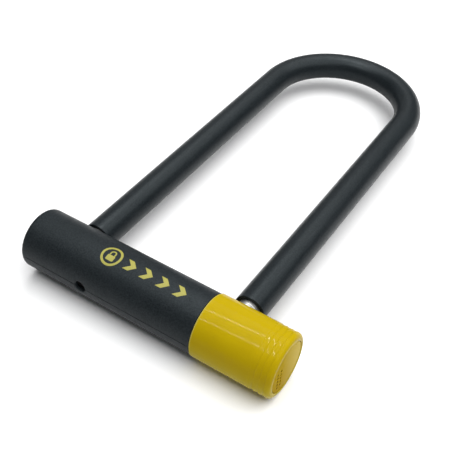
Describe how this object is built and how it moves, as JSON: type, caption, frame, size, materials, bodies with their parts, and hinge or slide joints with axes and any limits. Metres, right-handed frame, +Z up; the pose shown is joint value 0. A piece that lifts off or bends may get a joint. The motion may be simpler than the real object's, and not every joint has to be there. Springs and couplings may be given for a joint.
{
  "type": "u lock",
  "caption": "U-shaped bicycle lock: coated steel shackle seated in a round crossbar with a key cylinder at one end and a siren under a yellow cap at the other.",
  "frame": {"origin": "bottom centre of the whole lock's box as it lies seated, so z = 0 is the surface under the yellow cap; the crossbar's axis is 19.05 mm above it", "axes": "+X along the crossbar towards the yellow alarm cap, +Y along the shackle's legs from the crossbar to the bow, +Z up, square to the plane of the U"},
  "size_m": [0.1682, 0.3112, 0.0381],
  "materials": {
    "black_cover": "fine matt grain, dark bluish grey",
    "black_coating": "soft satin vinyl coating",
    "yellow_plastic": "glossy moulded yellow",
    "bright_steel": "bright plated steel",
    "dark_steel": "dark plated steel",
    "brass": "turned brass",
    "zinc": "dull cast zinc alloy",
    "seal_rubber": "matt black rubber",
    "white_plastic": "white moulded plastic",
    "green_board": "green lacquered circuit board",
    "black_plastic": "black moulded plastic"
  },
  "bodies": {
    "crossbar": {"crossbar_tube": "dark_steel", "crossbar_cover": "black_cover", "leg_bush_left": "black_plastic", "leg_bush_right": "black_plastic", "guide_block_left": "zinc", "guide_block_right": "zinc", "retaining_screw": "dark_steel", "housing_pin": "bright_steel", "key_end_plate": "black_plastic", "dust_cover_rivet": "bright_steel", "cylinder_housing": "brass", "alarm_cap": "yellow_plastic", "siren_grille": "yellow_plastic", "alarm_carrier": "black_plastic", "alarm_board": "green_board", "alarm_chip": "black_plastic", "vibration_sensor": "brass", "boost_coil": "black_plastic", "battery_holder": "white_plastic", "coin_cell_1": "bright_steel", "coin_cell_2": "bright_steel", "battery_contact_front": "brass", "battery_contact_rear": "brass", "siren_cup": "black_plastic", "siren_diaphragm": "brass", "siren_crystal": "white_plastic", "grille_seal": "seal_rubber", "cap_seal": "seal_rubber", "arming_switch": "black_plastic"},
    "shackle": {"shackle_bar": "bright_steel", "shackle_sleeve": "black_coating"},
    "plug": {"cylinder_plug": "brass", "sidebar": "bright_steel", "code_disc_1": "brass", "code_disc_2": "brass", "code_disc_3": "brass", "code_disc_4": "brass", "code_disc_5": "brass", "code_disc_6": "brass"},
    "lock_bar": {"lock_bar": "bright_steel"},
    "dust_cover": {"dust_cover": "bright_steel"},
    "plunger": {"switch_plunger": "white_plastic"}
  },
  "joints": [
    {"name": "shackle_slide", "type": "slide", "parent": "crossbar", "child": "shackle", "axis": [0, 1, 0], "range_m": [0, 0.06]},
    {"name": "plug_turn", "type": "hinge", "parent": "crossbar", "child": "plug", "pos_m": [-0.0746, -0.13653, 0.01905], "axis": [1, 0, 0], "range_deg": [0, 90]},
    {"name": "lock_bar_lift", "type": "slide", "parent": "crossbar", "child": "lock_bar", "axis": [0, 0, 1], "range_m": [0, 0.004]},
    {"name": "plunger_press", "type": "slide", "parent": "crossbar", "child": "plunger", "axis": [0, 0, 1], "range_m": [0, 0.0012]},
    {"name": "dust_cover_swing", "type": "hinge", "parent": "crossbar", "child": "dust_cover", "pos_m": [-0.0831, -0.13653, 0.02665], "axis": [1, 0, 0], "range_deg": [-74, 74]}
  ],
  "couplings": [
    {"joint": "plug_turn", "follows": "lock_bar_lift", "rad_per_m": 392.6},
    {"joint": "plunger_press", "follows": "lock_bar_lift", "ratio": 0.3}
  ]
}
